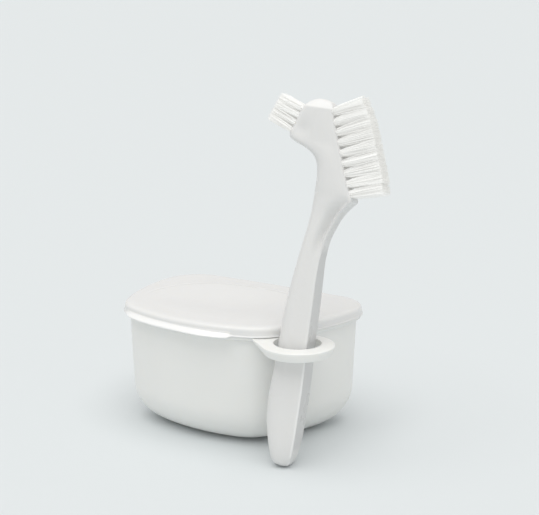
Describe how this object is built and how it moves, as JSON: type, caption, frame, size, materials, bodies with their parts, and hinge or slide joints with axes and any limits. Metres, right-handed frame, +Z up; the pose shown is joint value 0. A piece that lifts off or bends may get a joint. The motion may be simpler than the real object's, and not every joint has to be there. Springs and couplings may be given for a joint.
{
  "type": "denture case",
  "caption": "Moulded denture tub with a lift-off lid and a two-headed brush that stands in a ring on the tub's corner.",
  "frame": {"origin": "centre of the tub's base, on the table", "axes": "+Z up; -Y is the front, where the lid's pull ledge is; +X is the side of the brush ring"},
  "size_m": [0.1394, 0.0812, 0.1529],
  "materials": {
    "tub": "semi-matt moulded plastic, faintly translucent",
    "lid": "satin moulded plastic",
    "handle": "satin moulded plastic",
    "bristle": "translucent white nylon strands",
    "anchor": "plain stamped"
  },
  "bodies": {
    "case": {"tub": "tub"},
    "lid": {"lid": "lid"},
    "brush": {"brush_handle": "handle", "main_tuft_row_1": "bristle", "main_tuft_row_2": "bristle", "main_tuft_row_3": "bristle", "main_tuft_row_4": "bristle", "main_tuft_row_5": "bristle", "main_tuft_row_6": "bristle", "main_tuft_row_7": "bristle", "main_tuft_row_8": "bristle", "main_tuft_row_9": "bristle", "end_tuft_row_1": "bristle", "end_tuft_row_2": "bristle", "end_tuft_row_3": "bristle", "end_tuft_row_4": "bristle", "tuft_anchors": "anchor"}
  },
  "joints": [
    {"name": "lid_lift", "type": "slide", "parent": "case", "child": "lid", "axis": [0, 0, 1], "range_m": [0, 0.05]},
    {"name": "brush_lift", "type": "slide", "parent": "case", "child": "brush", "axis": [0.0501, 0.2091, 0.9766], "range_m": [0, 0.2]}
  ]
}
